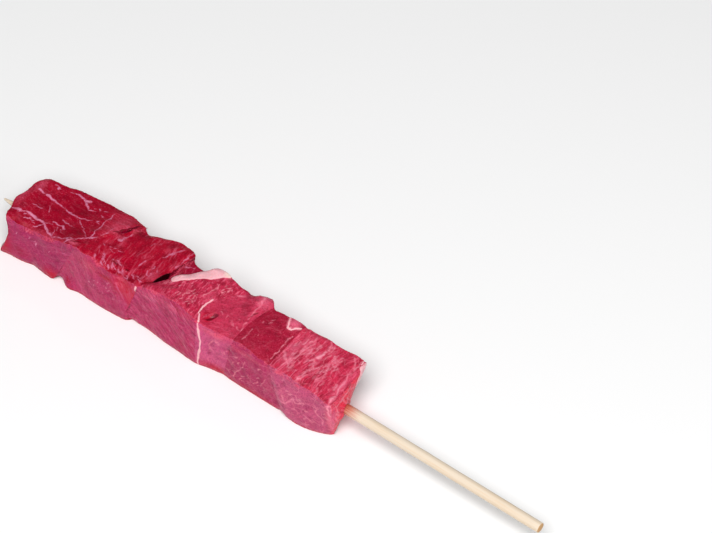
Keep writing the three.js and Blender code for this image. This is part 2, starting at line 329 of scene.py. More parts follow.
LAMB_6 = Lamb(
    node="lamb_cube_6", lean="#a41736", side="#ac2456", flank="#981634", vein="#e68498",
    grain=(0.8, 0.6, 0), side_grain=(0.5, 0, 0.87), fibre=(2.4, 0.6), streaks=(0.15, 0.15),
    web=(0.1, 0.3), web_size=3.2, blur=0.15,
    veins={
        "top": (
            (8, 5, (-91, 13, 0.25)), (-5, -2, (-90, 6, 0.15)),
            (2.5, 10.5, (-62, 4.5, 1.2), (-5, 1.5, 1.3), (55, 4, 0.9)),
            Strewn((-1, 0), (4, 6), 4, 70, 60, 1, 0.12),
        ),
        "front": (
            (-7.5, 4.5, (63, 6, 0.4), (67, 8, 0.3)), (2, 7.5, (55, 4, 0.3)), (5.5, 8, (70, 7, 0.3)),
            Strewn((0, 11), (8, 7), 12, 62, 35, 1.6, 0.25),
        ),
        "back": ((7, 22, (-100, 8, 0.5), (-80, 6, 0.3)), Strewn((0, 11), (7, 7), 9, 62, 35, 2, 0.25)),
    },
    fat={"top": ((2.5, 10.5, (-62, 4.5, 0.4), (-5, 1.5, 0.6), (55, 4, 0.35)),)},
    creases={
        "top": ((9.5, 6, (-94, 14, 0.4)), (-8, 2, (76, 4, 0.5))),
        "front": ((-7.5, 11, (-45, 0.8, 0.4)), (-3.5, 5, (45, 0.8, 0.4))),
    },
    patches={
        # The darker patch at (-7.5, 6) is painted shadow under the raised lip of the fifth piece.
        "top": ((5.5, 9.5, 2.4, 2.8, 0.9, 0.5), (-7.5, 6, 1.4, 4, -0.9), (0, -8, 8, 2, 0.15)),
        "front": (
            (9, 12, 3, 12, 0.25, 0.3), (-1, 8, 4, 6, -0.15), (-2, 21, 9, 1.4, 0.4, 0.2, 0.2),
            (2, 1.5, 9, 1.4, -0.2, 0, 0.5),
        ),
    },
    pushes=((-7.5, 7, 24, 2.2, "Z", -0.6), (5.5, 9.5, 24, 2.5, "Z", 0.4)),
)

LAMB_7 = Lamb(
    node="lamb_cube_7", lean="#c82c4c", side="#c04a72", flank="#ee2c4a", vein="#ee8ca2",
    grain=(0.05, 1, 0), side_grain=(0.6, 0, 0.8), fibre=(6.0, 0.55), streaks=(0.9, 0.3), web=(0.25, 0.4),
    blur=0.3,
    veins={
        "top": (
            (9.5, -2, (-40, 8.5, 0.45)), (12, -5, (0, 4, 0.3)), (15.5, 10, (-92, 13, 0.35)),
            (22, 7, (-105, 5, 0.9), (-112, 5, 0.5)), (22, 1, (-93, 11, 0.4)), (20.5, 13, (-68, 6, 0.4)),
            (31, 12, (-55, 6, 0.4)), (34, 12, (-90, 5, 0.3)), (34, 6, (-82, 14, 0.4), (-78, 3, 1.2)),
            Strewn((20, 3), (10, 9), 40, -95, 16, 3.5, 0.28),
            Strewn((29, 1), (5, 9), 14, -85, 14, 2.5, 0.25),
        ),
        "front": (
            (14.5, 8, (12, 3, 0.3), (57, 6, 0.4), (-40, 2, 0.3), (32, 4, 0.3)), (17, 8.5, (105, 4, 0.3)),
            (26, 8.5, (-34, 4, 0.25)), (30.5, 13.5, (-53, 5, 0.35), (-90, 3, 0.25)),
            (36.5, 21.5, (-90, 4, 1.2), (-83, 4, 0.6)), Strewn((25, 10), (9, 7), 16, 50, 60, 1.6, 0.22),
        ),
        "end": (
            (-10, 20.5, (-95, 6, 0.9), (-86, 7, 0.4)), (-7, 18, (16, 5, 0.3), (0, 5, 0.2)),
            (2, 18.5, (-28, 2, 0.4), (-68, 3, 0.4)), Strewn((-4, 13), (6, 6), 12, -70, 25, 3, 0.22),
        ),
        "back": (Strewn((22, 12), (13, 7), 20, 55, 40, 2.4, 0.25),),
    },
    fat={
        "corner": ((15.5, 17, (140, 3, 4.5), (190, 3, 4.5), (210, 3, 3.5), (230, 2, 1.8)),),
        "back": ((38, 17.5, (180, 3, 4.5), (190, 3, 3.5), (205, 2, 2)),),
    },
    patches={
        "top": (
            (13, 3, 5, 9, 0.2), (11.5, 1.5, 2.2, 3, 0.4), (12, -4.5, 4, 3, 0.35), (14, 9, 2.4, 4, 0.2),
            (21, 3.5, 3, 3, 0.25), (17, -1, 3, 1.4, -0.25), (28, 8, 4, 3.5, -0.15, -0.4),
            (31, -1, 4, 5, -0.05, -0.35), (26, -6, 4, 3, 0, 0.3), (35, 0, 1.6, 9, 0.5),
        ),
        "front": (
            (24, 22, 14, 1.4, 0.3, 0.3), (17, 12, 4, 5, 0.35, 0.3), (30, 5, 5, 4, -0.3),
            # The pale strips down the front edge of the end, here at x 36.5 and on the end at y -8, are
            # painted highlight.
            (36.5, 12, 1.6, 9, 0.8, 0, 0.4),
        ),
        "end": ((-8, 12, 3, 9, 0.5, 0.4), (8, 16, 4, 4, 0.2), (0, 6, 9, 5, -0.2)),
    },
    pushes=((22, -12, 2, 8, "Y", -0.6), (36.5, -3, 12, 5, "X", 1.5)),
)

PIECES = (LAMB_1, LAMB_2, LAMB_3, LAMB_4, LAMB_5, LAMB_6, LAMB_7)

# Slits and pockets between flaps of meat: the middle and half the size, mm; turn, degrees; and the darkness
# of the painted shade inside.
HOLLOWS = (
    ((-46.2, -2.4, 23.5), (1.2, 4.4, 3.2), -24, 1.0),
    ((-71.4, 7.6, 23.6), (0.35, 4.4, 1.6), -32, 0.6),
    ((-21.5, -7, 25), (2.6, 1.1, 1.6), 62, 0.0),
    ((-20.5, -6.5, 25), (2.6, 1.2, 1.7), 62, 0.6),
)

# Wet, ragged places that glisten: x, y, z and reach, mm.
WET = ((-64, -8, 23, 6), (-57, -8, 23, 5), (-71, 2, 23, 4), (-20, -6, 25, 3), (-10, 9, 25, 4))

# What is stored on the lamb for its material to read.
# Of these, beyond_crease and hollow place painted shade, and pressed marks the faces between the pieces,
# which are darkened with painted shade.
MARKS = ("beyond_vein", "beyond_fat", "beyond_crease", "hollow", "pressed")
MARKS += ("paler", "redder", "streaks", "web", "wet")
FAR = 3.0  # the greatest distance from a strand that is told apart, mm

# How the solids are joined and softened.
WELD = 0.01  # corners nearer than this are one, mm
SOFTENING = 4  # rounds of averaging that a cell of 0.5 mm takes
FLAT = (0.86, 0.97)  # length of the averaged normals: an edge below the first, a flat above the second
CLOSINGS = 3  # how often the grooves are pushed out
CLOSE_TOP, CLOSE_SIDES = 0.7, 1.4  # how much of a groove's depth is pushed out each time

# How the pieces are cut apart, mm.
BORE = 4.0  # what lies nearer to the skewer's axis belongs to its hole and not to a cut
CUT_Y, CUT_Z = (-18, 18), (-3, 30)  # a cut is curved within these
KNIFE = 64  # width and height of the blade, which has cells of 1 mm
KNIFE_DEPTH = 300  # longer than the kebab
ON_CUT = 0.1  # how near to a cut a face lies that the cut made

# Sizes of patterns, mm.
SWELL = 7.0  # between the places where a cut face sags
LUMP = 2.2  # single muscle bundles
MOTTLE = 4.0  # darker blotches
GRIT = 0.6  # the finest speckle
WAVE = 7.0  # bends of the grain
SWAY = 2.6  # how far they reach to the side
GAPS = 3.2  # breaks in the fine marbling
FADING = 1.5  # where veins sink from view
DAMP = 1.6  # wetter and drier places
SPLINTER = 0.5  # fibres of the bamboo
BAND = 1.6  # darker bands of it
DRIED = 3.0  # reach of the juice that has dried on it
UNEVEN = 9.0  # bumps along it

# Heights of patterns, and how far light gets, mm.
FIBRE_HEIGHT = 0.25  # fibres of the lamb, in its material
SPLINTER_HEIGHT = 0.12  # fibres of the bamboo
UNEVEN_HEIGHT = 0.16  # bumps along it
LIGHT_REACH = 0.8  # in the meat

# ---------------------------------------------------------------- settings


def number(name, description, default, **limits):
    """A number that a user may change."""
    return bpy.props.FloatProperty(name=name, description=description, default=default, **limits)


def size_mm(name, description, default):
    return number(name, description, default, precision=3)


def share(name, description, default):
    return number(name, description, default, subtype="FACTOR", min=0, max=1)


def colour(name, description, hex_value):
    return bpy.props.FloatVectorProperty(
        name=name, description=description, subtype="COLOR", size=3, min=0, max=1, default=linear(hex_value)
    )


class KebabLambSettings(bpy.types.PropertyGroup):
    """Finish of the raw lamb."""

    voxel: size_mm("Mesh Cell", "Size of a face of the finished meat, mm", 0.32)
    fill_out: size_mm("Fill Out", "How far the soft faces bulge all over, mm", 0.2)
    press: size_mm("Press", "How far the pieces bulge towards each other to close their joints, mm", 0.9)
    proud: size_mm("Proud Fat", "How far fat stands out of the lean round it, mm", 0.18)
    swell: size_mm("Swell", "How far the cut faces sag and swell, mm", 0.5)
    lumps: size_mm("Lumps", "How far single muscle bundles stand out, mm", 0.22)
    fibres: size_mm("Fibres", "How far the fibres stand out of a streaky face, mm", 0.16)
    fat: colour("Fat", "Clean white lamb fat", "#f2b5bd")
    cream_fat: colour("Cream Fat", "Thicker, drier fat", "#f7d6cc")
    # Painted highlight along the upper crests of the cuts; it also tints clean fat pink in flecks.
    rim: colour("Rim", "Raw edge of a cut", "#dc5570")
    # Painted highlight on the fibre bundles where they catch the light: on top, and in the next colour down
    # the purple fronts.
    fibre_highlight: colour("Streak", "Fibre bundles that catch the light", "#dd6480")
    side_fibre_highlight: colour("Side Streak", "The same on a face that has turned purple", "#d05e8e")
    # Dark lean; it is also the painted shade on the faces between the pieces and in some darker patches.
    dark_lean_and_shade: colour("Blood", "Wet dark lean", "#6a0218")
    # Painted shade in creases, folds and joints.
    crease_shade: colour("Fold", "Dark lean in a crease", "#66000f")
    # Painted shade in the depth of a pocket.
    shadow: colour("Shadow", "Blood in the depth of a pocket", "#2c0008")
    # Pale lean; it also colours the few patches of painted highlight.
    pale: colour("Pale Lean", "Lean meat with much fine fat in it", "#e06482")
    # Darker patches down the front; it also colours the painted shade in creases there.
    deep: colour("Deep Lean", "Darker patches down the front", "#82043f")
    red: colour("Bright Lean", "Fresh lean that the air has reddened", "#b80c30")
    roughness: share("Roughness", "Roughness of the moist cut surface", 0.42)
    wetness: share("Wetness", "How much meat juice lies on the surface", 0.1)
    depth: share("Translucency", "How far light spreads in the meat", 0.12)


class KebabSkewerSettings(bpy.types.PropertyGroup):
    """Shape and finish of the bamboo skewer."""

    point: size_mm("Point", "Length of the sharpened end, mm", 20.0)
    tip: size_mm("Tip", "Diameter of the very point, mm", 0.8)
    chamfer: size_mm("Chamfer", "Worn rim of the sawn end, mm", 0.3)
    bamboo: colour("Bamboo", "Pale bamboo", "#e1d1bc")
    grain: colour("Grain", "Darker lengthwise fibres", "#dcbb90")
    sawn: colour("Sawn End", "Open grain of the sawn end", "#c99a63")
    juice: colour("Juice", "Meat juice drawn into the wood", "#b43c08")
    dried: colour("Dried Juice", "Juice that has dried where the wood leaves the meat", "#96302c")
    stain: size_mm("Stain", "How far the juice has crept along the wood, mm", 9.0)


class KebabStageSettings(bpy.types.PropertyGroup):
    """Floor, lights and camera."""

    floor: colour("Floor", "Plain pale tabletop", "#f8f8f8")
    azimuth: number("Azimuth", "Turn of the camera from the front", math.radians(37.87), subtype="ANGLE")
    elevation: number("Elevation", "Height of the camera above the table", math.radians(50), subtype="ANGLE")
    lens: number("Lens", "Focal length, mm", 200, unit="CAMERA")
    distance: number("Distance", "From the camera to where it aims", 1.4686, unit="LENGTH")
    aim_behind: number("Aim Behind", "How far behind the kebab the camera aims", 0.05495, unit="LENGTH")
    sky: share("Sky", "Brightness of the room's soft light", 0.14)
    key: number("Key Light", "Power of the large light overhead", 24.5, unit="POWER")
    fill: number("Fill Light", "Power of the low light at the handle's end", 2.0, unit="POWER")
    glint: number("Glint Light", "Power of the light that shows the wet surface", 0.12, unit="POWER")


# ---------------------------------------------------------------- tools for meshes


def deselect():
    bpy.ops.object.select_all(action="DESELECT")
    bpy.context.view_layer.objects.active = None


def take(piece):
    """Selects one object alone."""
    deselect()
    piece.select_set(True)
    bpy.context.view_layer.objects.active = piece


def finish_with(piece, kind, **settings):
    """Adds a modifier to the piece and applies it."""
    take(piece)
    modifier = piece.modifiers.new(kind.title(), kind)
    for name, value in settings.items():
        setattr(modifier, name, value)
    bpy.ops.object.modifier_apply(modifier=modifier.name)


def clouds(name, size, detail=2):
    """A soft random relief whose lumps are of the given size in metres."""
    texture = bpy.data.textures.new(name, "CLOUDS")
    texture.noise_scale = size
    texture.noise_depth = detail
    return texture


def vertex_array(mesh, name):
    values = np.empty(len(mesh.vertices) * 3)
    mesh.vertices.foreach_get(name, values)
    return values.reshape(-1, 3)


def smooth_step(low, high, values):
    t = np.clip((values - low) / (high - low), 0, 1)
    return t * t * (3 - 2 * t)


def finish_where(piece, weights, kind, steps=24, **settings):
    """Finishes the piece with a modifier that acts as the weights say, rounded to a number of steps."""
    group = piece.vertex_groups.new(name="where")
    levels = np.rint(np.clip(weights, 0, 1) * steps).astype(int)
    for level in range(1, steps + 1):
        group.add(np.nonzero(levels == level)[0].tolist(), level / steps, "REPLACE")
    finish_with(piece, kind, vertex_group="where", **settings)
    piece.vertex_groups.clear()


def edit_all(step, **settings):
    """Takes a step of mesh editing on the whole of the active object."""
    bpy.ops.object.mode_set(mode="EDIT")
    bpy.ops.mesh.select_all(action="SELECT")
    step(**settings)
    bpy.ops.object.mode_set(mode="OBJECT")


def pick(mesh, kind, wanted):
    """Goes into edit mode with those faces or edges selected whose corners' x values pass a test."""
    bpy.ops.object.mode_set(mode="EDIT")
    bpy.ops.mesh.select_mode(type=kind)
    bpy.ops.mesh.select_all(action="DESELECT")
    bpy.ops.object.mode_set(mode="OBJECT")
    for part in mesh.polygons if kind == "FACE" else mesh.edges:
        part.select = wanted([mesh.vertices[v].co.x for v in part.vertices])
    bpy.ops.object.mode_set(mode="EDIT")


def all_at(place):
    """The test for pick that a face or edge stands at a place along x."""
    return lambda values: all(abs(x - place) < 1e-6 for x in values)


def store(mesh, name, values):
    attribute = mesh.attributes.new(name, "FLOAT", "POINT")
    attribute.data.foreach_set("value", values.astype(np.float32))


# ---------------------------------------------------------------- tools for materials

# The kinds of node in use: type, settings, the inputs that are given in order, and the output that is taken.
MULTIPLY, ADD, SUBTRACT, LARGER = (
    ("ShaderNodeMath", {"operation": name}, (0, 1), 0) for name in ("MULTIPLY", "ADD", "SUBTRACT", "MAXIMUM")
)
SCALE = ("ShaderNodeVectorMath", {"operation": "SCALE"}, (0, 3), 0)
MOVE, MOVE_BACK = (("ShaderNodeVectorMath", {"operation": name}, (0, 1), 0) for name in ("ADD", "SUBTRACT"))
PLACE = ("ShaderNodeTexCoord", {}, (), "Object")
NORMAL = ("ShaderNodeNewGeometry", {}, (), "Normal")
SPLIT = ("ShaderNodeSeparateXYZ", {}, (0,), None)
NOISE = ("ShaderNodeTexNoise", {}, ("Vector", "Scale", "Detail", "Roughness"), "Fac")
COLOUR_NOISE = ("ShaderNodeTexNoise", {}, ("Vector", "Scale", "Detail"), "Color")
CELLS = ("ShaderNodeTexVoronoi", {"feature": "DISTANCE_TO_EDGE"}, ("Vector", "Scale"), "Distance")
STRETCH = ("ShaderNodeMapping", {"vector_type": "TEXTURE"}, ("Vector", "Rotation", "Scale"), 0)
BUMP = ("ShaderNodeBump", {}, ("Height", "Strength", "Distance"), "Normal")
# Turns its second and third input into its fourth and fifth, or 0 and 1, smoothly, and holds outside.
RAMP = ("ShaderNodeMapRange", {"interpolation_type": "SMOOTHSTEP"}, (0, 1, 2, 3, 4), 0)
CHOOSE = ("ShaderNodeMix", {"data_type": "FLOAT"}, (0, 2, 3), 0)
# Takes how much, the colour under and the colour over it.
LAY = ("ShaderNodeMix", {"data_type": "RGBA"}, (0, 6, 7), 2)


def give(made, values):
    """Links or sets inputs of a node."""
    for name, value in values.items():
        if isinstance(value, bpy.types.NodeSocket):
            made.id_data.links.new(value, made.inputs[name])
        else:
            made.inputs[name].default_value = value


def add_node(tree, kind, *values):
    """Adds a node of a kind in the list above, with its inputs in order, and returns its output."""
    node_type, settings, names, output = kind
    made = tree.nodes.new(node_type)
    for name, value in settings.items():
        setattr(made, name, value)
    give(made, dict(zip(names, values)))
    return made.outputs if output is None else made.outputs[output]


def new_material(name):
    """A material, its shader, its function that adds a node, and the place on the piece in mm."""
    material = bpy.data.materials.new(name)
    material.use_nodes = True
    tree = material.node_tree
    tree.nodes.clear()
    shader = tree.nodes.new("ShaderNodeBsdfPrincipled")
    give(tree.nodes.new("ShaderNodeOutputMaterial"), {"Surface": shader.outputs["BSDF"]})
    add = functools.partial(add_node, tree)
    return material, shader, add, add(SCALE, add(PLACE), 1 / MM)


def dress(piece, material):
    piece.data.materials.clear()
    piece.data.materials.append(material)


def seat(piece, node):
    """Ties a finished piece to the solid that it stands for."""
    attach(piece, "root")
    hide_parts(node)


# ---------------------------------------------------------------- raw lamb


def beyond_seam(points, seam):
    """How far each point lies outside a fat seam, in millimetres; below zero is inside it."""
    nearest = np.full(len(points), np.inf)
    for (x0, y0, w0), (x1, y1, w1) in zip(seam, seam[1:]):
        start = np.array((x0, y0))
        run = np.array((x1, y1)) - start
        t = np.clip((points - start) @ run / max(run @ run, 1e-9), 0, 1)
        away = np.linalg.norm(points - start - t[:, None] * run, axis=1)
        nearest = np.minimum(nearest, away - (w0 + (w1 - w0) * t) / 2)
    return nearest


def strand_line(a, b, runs, sway, thinnest, rng):
    """The points (place, place, width) of a strand, which wavers by sway degrees and thins in places."""
    line = []
    for heading, length, width in runs:
        steps = max(2, round(length / STRAND_STEP))
        astray = rng.normal(0, sway, steps)
        swells = rng.uniform(thinnest, 1.25, max(2, round(length / SWELL_STEP)))
        widths = width * np.interp(np.linspace(0, 1, steps), np.linspace(0, 1, len(swells)), swells)
        for turn, wide in zip(np.radians(heading + astray - astray.mean()), widths):
            line.append((a, b, wide))
            a += length / steps * math.cos(turn)
            b += length / steps * math.sin(turn)
    line.append((a, b, width * thinnest))
    return line


def strands_of(marks, rng):
    """Every strand of a face's marks: its place and its runs."""
    for mark in marks:
        if isinstance(mark, Strewn):
            for _ in range(mark.count):
                a, b = np.array(mark.middle) + mark.reach * rng.uniform(-1, 1, 2)
                heading = mark.heading + rng.uniform(-1, 1) * mark.stray
                length = mark.length * rng.uniform(0.5, 1.5)
                yield a, b, ((heading, length, mark.width * rng.uniform(0.5, 1.3)),)
        else:
            a, b, *runs = mark
            yield a, b, runs


def wander(points, reach):
    """Moves points a little way, so that a line drawn through them wavers as grown fat does."""
    x, y = points[:, 0], points[:, 1]
    aside = np.stack(
        (
            np.sin(1.7 * x + 1.1 * y + 0.4) + 0.6 * np.sin(3.1 * y - 2.3 * x + 1.9),
            np.sin(1.3 * y - 1.9 * x + 2.2) + 0.6 * np.sin(2.9 * x + 1.7 * y + 0.8),
        ),
        axis=1,
    )
    return points + reach * aside


def facing(normals, face):
    """How fully each normal points out of a face of the meat, 0 to 1."""
    return smooth_step(0.3, 0.62, normals @ np.array(FACES[face]["normal"], float))


def from_hollow(places, middle, halves, turn):
    """How far each point lies from the hollow's middle; 1 is on its wall."""
    away = places - middle
    c, s = math.cos(math.radians(turn)), math.sin(math.radians(turn))
    along = np.stack((away[:, 0] * c + away[:, 1] * s, away[:, 1] * c - away[:, 0] * s, away[:, 2]), axis=1)
    return np.linalg.norm(along / halves, axis=1)


def marks_on(lamb, places, normals):
    """Where a piece's fat and painted shade are, and its paler, darker, streakier and wetter areas, at each
    of its points.
    """
    marks = {}
    rng = np.random.default_rng(PIECES.index(lamb))
    for name, lines, reach, sway, thinnest in (
        ("beyond_vein", lamb.veins, 0.1, 14, 0.15),
        ("beyond_fat", lamb.fat, 0.05, 3, 0.85),
        ("beyond_crease", lamb.creases, 0.15, 12, 0.4),
    ):
        marks[name] = np.full(len(places), FAR)
        for face, strands in lines.items():
            flat = wander(places[:, FACES[face]["axes"]], reach)
            away = (1 - facing(normals, face)) * FAR
            for a, b, runs in strands_of(strands, rng):
                seam = strand_line(a, b, runs, sway, thinnest, rng)
                marks[name] = np.minimum(marks[name], beyond_seam(flat, seam) + away)
    on_top = facing(normals, "top")
    paler, redder = np.zeros(len(places)), np.zeros(len(places))
    streaks = lamb.streaks[0] * on_top + lamb.streaks[1] * (1 - on_top)
    for face, patches in lamb.patches.items():
        flat = places[:, FACES[face]["axes"]]
        for patch in patches:
            a, b, reach_a, reach_b, pale, streaky, red = (*patch, 0, 0)[:7]
            nearness = np.exp(-(((flat[:, 0] - a) / reach_a) ** 2) - ((flat[:, 1] - b) / reach_b) ** 2)
            amount = facing(normals, face) * nearness
            paler += pale * amount
            streaks += streaky * amount
            redder += red * amount
    # How much painted shade fills each slit and pocket.
    dark = [shade * smooth_step(1.15, 1.0, from_hollow(places, *hollow)) for *hollow, shade in HOLLOWS]
    wet = [np.exp(-((np.linalg.norm(places - place, axis=1) / reach) ** 2)) for *place, reach in WET]
    marks["hollow"], marks["wet"] = np.max(dark, axis=0), np.max(wet, axis=0)
    marks["paler"], marks["redder"] = paler, np.clip(redder, 0, 1)
    marks["streaks"] = np.clip(streaks, 0, 1.4)
    marks["web"] = lamb.web[0] * on_top + lamb.web[1] * (1 - on_top)
    return marks


def spread(mesh, values, rounds):
    """Each vertex's value averaged over and over with those next to it."""
    edges = np.empty(len(mesh.edges) * 2, int)
    mesh.edges.foreach_get("vertices", edges)
    first, second = edges.reshape(-1, 2).T
    count = len(mesh.vertices)
    degree = np.bincount(first, minlength=count) + np.bincount(second, minlength=count)
    for _ in range(rounds):
        total = values.copy()
        for axis in range(3):
            total[:, axis] += np.bincount(first, values[second, axis], count)
            total[:, axis] += np.bincount(second, values[first, axis], count)
        values = total / (degree + 1)[:, None]
    return values


def standing_out(mesh, rounds):
    """How far each vertex stands out of the surface round it, in mm; grooves are below zero."""
    places = vertex_array(mesh, "co") / MM
    return ((places - spread(mesh, places, rounds)) * vertex_array(mesh, "normal")).sum(axis=1)


def fit_cut(node):
    """The cut at the point's end of a piece: its x as a smooth function of y and z, all in mm."""
    mesh = frame["nodes"][node].data
    count = len(mesh.polygons)
    centres, normals = np.empty(count * 3), np.empty(count * 3)
    mesh.polygons.foreach_get("center", centres)
    mesh.polygons.foreach_get("normal", normals)
    centres, normals = centres.reshape(-1, 3) / MM, normals.reshape(-1, 3)
    axis = (SKEWER_BOX[0] + SKEWER_BOX[1]) / 2 / MM
    from_skewer = np.hypot(centres[:, 1] - axis.y, centres[:, 2] - axis.z)
    on_cut = (normals[:, 0] < -0.5) & (from_skewer > BORE)

    def terms(y, z):
        return np.stack((np.ones_like(y), y, z, y * y, y * z, z * z), axis=1)

    # Faces that turn out to lie off the fitted surface are left out of the next fit.
    for _ in range(4):
        x, y, z = centres[on_cut].T
        factors = np.linalg.lstsq(terms(y, z), x, rcond=None)[0]
        off = np.abs(terms(centres[:, 1], centres[:, 2]) @ factors - centres[:, 0])
        on_cut &= off < max(0.3, np.median(off[on_cut]) * 2)

    def cut(y, z):
        return terms(np.clip(y, *CUT_Y), np.clip(z, *CUT_Z)) @ factors

    return cut


def make_knife(cut):
    """A block that holds all that lies beyond the cut, towards the handle."""
    deselect()
    size = {"x_subdivisions": KNIFE, "y_subdivisions": KNIFE, "size": KNIFE * MM}
    bpy.ops.mesh.primitive_grid_add(**size, location=(0, 0, 12 * MM), rotation=(0, math.pi / 2, 0))
    knife = bpy.context.object
    bpy.ops.object.transform_apply(location=True, rotation=True, scale=True)
    places = vertex_array(knife.data, "co")
    places[:, 0] = cut(places[:, 1] / MM, places[:, 2] / MM) * MM
    knife.data.vertices.foreach_set("co", places.ravel())
    edit_all(bpy.ops.mesh.extrude_region_move, TRANSFORM_OT_translate={"value": (KNIFE_DEPTH * MM, 0, 0)})
    edit_all(bpy.ops.mesh.normals_make_consistent, inside=False)
    return knife


def copy_of(thing):
    take(thing)
    bpy.ops.object.duplicate()
    return bpy.context.object


def join_solids(settings):
    """One soft body made of copies of all the solids, closed where they press against each other."""
    copies = []
    for lamb in PIECES:
        solid = copy_of(frame["nodes"][lamb.node])
        del solid["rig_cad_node"]
        edit_all(bpy.ops.mesh.remove_doubles, threshold=WELD * MM)
        finish_with(solid, "DISPLACE", strength=settings.press * MM, mid_level=0)
        copies.append(solid)
    deselect()
    for solid in copies:
        solid.select_set(True)
    bpy.context.view_layer.objects.active = copies[0]
    bpy.ops.object.join()
    body = bpy.context.object
    voxel = settings.voxel * 1
    finish_with(body, "REMESH", mode="VOXEL", voxel_size=voxel * MM)
    finish_with(body, "DISPLACE", strength=(settings.fill_out - settings.press) * MM, mid_level=0)
    for middle, halves, turn, _ in HOLLOWS:
        deselect()
        place, turned = tuple(c * MM for c in middle), (0, 0, math.radians(turn))
        bpy.ops.mesh.primitive_uv_sphere_add(
            segments=32, ring_count=20, radius=MM, location=place, rotation=turned, scale=halves
        )
        scoop = bpy.context.object
        finish_with(body, "BOOLEAN", operation="DIFFERENCE", solver="MANIFOLD", object=scoop)
        bpy.data.objects.remove(scoop)

    # Flats are softened and knife edges stay crisp. Then the grooves between the pieces close up, less
    # on top than down the sides. Smaller cells take more rounds to reach as far.
    rounds = round(SOFTENING * (0.5 / voxel) ** 2)
    turned = np.linalg.norm(spread(body.data, vertex_array(body.data, "normal"), rounds), axis=1)
    finish_where(body, smooth_step(*FLAT, turned), "SMOOTH", factor=0.5, iterations=rounds * 2)
    finish_with(body, "SMOOTH", factor=0.5, iterations=max(2, rounds // 3))
    for _ in range(CLOSINGS):
        upward = vertex_array(body.data, "normal")[:, 2]
        groove = -standing_out(body.data, rounds * 2) * np.where(upward > 0.5, CLOSE_TOP, CLOSE_SIDES)
        for hollow in HOLLOWS:
            groove *= smooth_step(1.1, 1.8, from_hollow(vertex_array(body.data, "co") / MM, *hollow[:3]))
        finish_where(body, groove, "DISPLACE", steps=50, strength=MM, mid_level=0)
    finish_with(body, "SMOOTH", factor=0.5, iterations=2)
    return body


def roughen(body, owners, settings):
    """The relief of cut meat: lumps, fibres along each piece's grain, bulges, and fat that stands proud."""
    places, normals = vertex_array(body.data, "co") / MM, vertex_array(body.data, "normal")
    lifted = smooth_step(0.2, 2.0, places[:, 2])
    for name, size, height in (("swell", SWELL, settings.swell), ("lumps", LUMP, settings.lumps)):
        relief = {"texture": clouds(name, size * MM), "texture_coords": "LOCAL", "strength": height * MM}
        finish_where(body, lifted, "DISPLACE", **relief)
    on_top = facing(normals, "top")
    beyond = np.full(len(places), FAR)
    for index, lamb in enumerate(PIECES):
        own = owners == index
        marks = marks_on(lamb, places[own], normals[own])
        # A thin vein stands proud along its middle alone.
        beyond[own] = np.minimum(marks["beyond_vein"] + 0.2, marks["beyond_fat"])
        streaks = np.zeros(len(places))
        streaks[own] = marks["streaks"] * lifted[own]
        length, width = lamb.fibre
        for grain, there in ((lamb.grain, on_top), (lamb.side_grain, 1 - on_top)):
            deselect()
            bpy.ops.object.empty_add(rotation=grain_turn(grain))
            guide = bpy.context.object
            guide.scale = (length * MM, width * MM, width * MM)
            bpy.context.view_layer.update()
            relief = {"texture": clouds("fibres", 1.0, detail=1), "strength": settings.fibres * MM}
            relief |= {"texture_coords": "OBJECT", "texture_coords_object": guide}
            finish_where(body, streaks * there, "DISPLACE", **relief)
            bpy.data.objects.remove(guide)
    for axis, sign in itertools.product("XYZ", (1, -1)):
        moved = np.zeros(len(places))
        for index, lamb in enumerate(PIECES):
            own = owners == index
            for *place, reach, along, far in lamb.pushes:
                if along == axis and far * sign > 0:
                    away = np.linalg.norm(places[own] - place, axis=1) / reach
                    moved[own] = np.maximum(moved[own], far * sign * np.exp(-(away**2)))
        most = moved.max()
        if most > 0:
            push = {"direction": axis, "strength": sign * most * MM, "mid_level": 0}
            finish_where(body, moved / most, "DISPLACE", steps=60, **push)
    proud = lifted * smooth_step(0.3, -0.5, beyond)
    finish_where(body, proud, "DISPLACE", strength=settings.proud * MM, mid_level=0)


def finish_lamb(piece, lamb, cuts):
    """Marks a piece's fat, and the faces that its neighbours press against."""
    piece.name = lamb.node.replace("lamb_cube", "raw_lamb")
    piece.data.name = piece.name
    places, normals = vertex_array(piece.data, "co") / MM, vertex_array(piece.data, "normal")
    pressed = np.zeros(len(places))
    x, y, z = places.T
    step = 0.5
    for cut in cuts:
        here = cut(y, z)
        slope = (np.ones_like(x), (here - cut(y + step, z)) / step, (here - cut(y, z + step)) / step)
        slope = np.stack(slope, axis=1)
        along = np.abs((slope * normals).sum(axis=1)) / np.linalg.norm(slope, axis=1)
        pressed = np.maximum(pressed, (np.abs(x - here) < ON_CUT) * smooth_step(0.85, 0.99, along))
    store(piece.data, "pressed", pressed)
    for name, values in marks_on(lamb, places, normals).items():
        store(piece.data, name, values)
    take(piece)
    bpy.ops.object.shade_smooth_by_angle(angle=math.radians(60))


def grain_turn(grain):
    """The turn that lays the x axis along the grain."""
    return Vector(grain).to_track_quat("X", "Z").to_euler()


